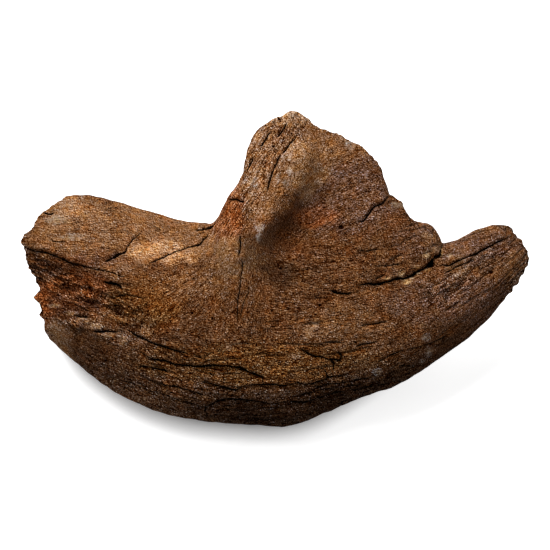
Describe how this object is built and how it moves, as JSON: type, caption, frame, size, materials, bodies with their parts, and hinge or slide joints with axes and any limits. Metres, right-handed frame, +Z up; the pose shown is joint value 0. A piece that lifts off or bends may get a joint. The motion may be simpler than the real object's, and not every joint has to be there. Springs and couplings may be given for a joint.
{
  "type": "fossil mammoth jaw",
  "caption": "Fossil left half of a mammoth's lower jaw, broken at both ends, with a tall thin blade and an empty tooth socket, lying on its inner side.",
  "frame": {"origin": "middle of the bone's box at the level of the ground it lies on", "axes": "+X from the broken front to the neck of the jaw joint, +Y from the lower border to the coronoid process, +Z up, out of the cheek side"},
  "size_m": [0.5208, 0.292, 0.1865],
  "materials": {
    "fossil_bone": "rough, dry, cracked brown bone"
  },
  "bodies": {
    "root": {"jaw_bone": "fossil_bone"}
  },
  "joints": []
}
